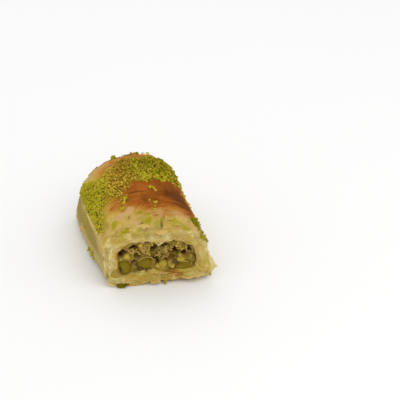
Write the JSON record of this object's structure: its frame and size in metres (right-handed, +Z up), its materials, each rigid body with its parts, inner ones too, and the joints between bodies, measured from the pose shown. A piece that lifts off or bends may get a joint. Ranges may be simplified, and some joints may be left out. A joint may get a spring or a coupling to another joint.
{
  "type": "rolled pistachio baklava piece",
  "caption": "Pillow-shaped roll of syrup-glazed filo sheets round a chopped pistachio core, cut at both ends and dusted with ground pistachio.",
  "frame": {"origin": "middle of the base of the box round the piece, on the surface it rests on", "axes": "+Y along the roll from the front cut to the back cut, +X to the right seen from the front cut, +Z up"},
  "size_m": [0.0401, 0.0554, 0.0311],
  "materials": {
    "filo": "thin baked filo sheets soaked in syrup, glossy golden to orange brown on the crown, pale yellow at the cuts, dusted with ground pistachio",
    "pistachio_core": "coarsely chopped pistachios pressed with syrup, olive and yellow green with dark brown skins",
    "ground_pistachio": "finely ground pistachio, bright yellow green, golden where syrup has soaked it"
  },
  "bodies": {
    "root": {"filo_wrap": "filo", "pistachio_filling": "pistachio_core"}
  },
  "joints": []
}
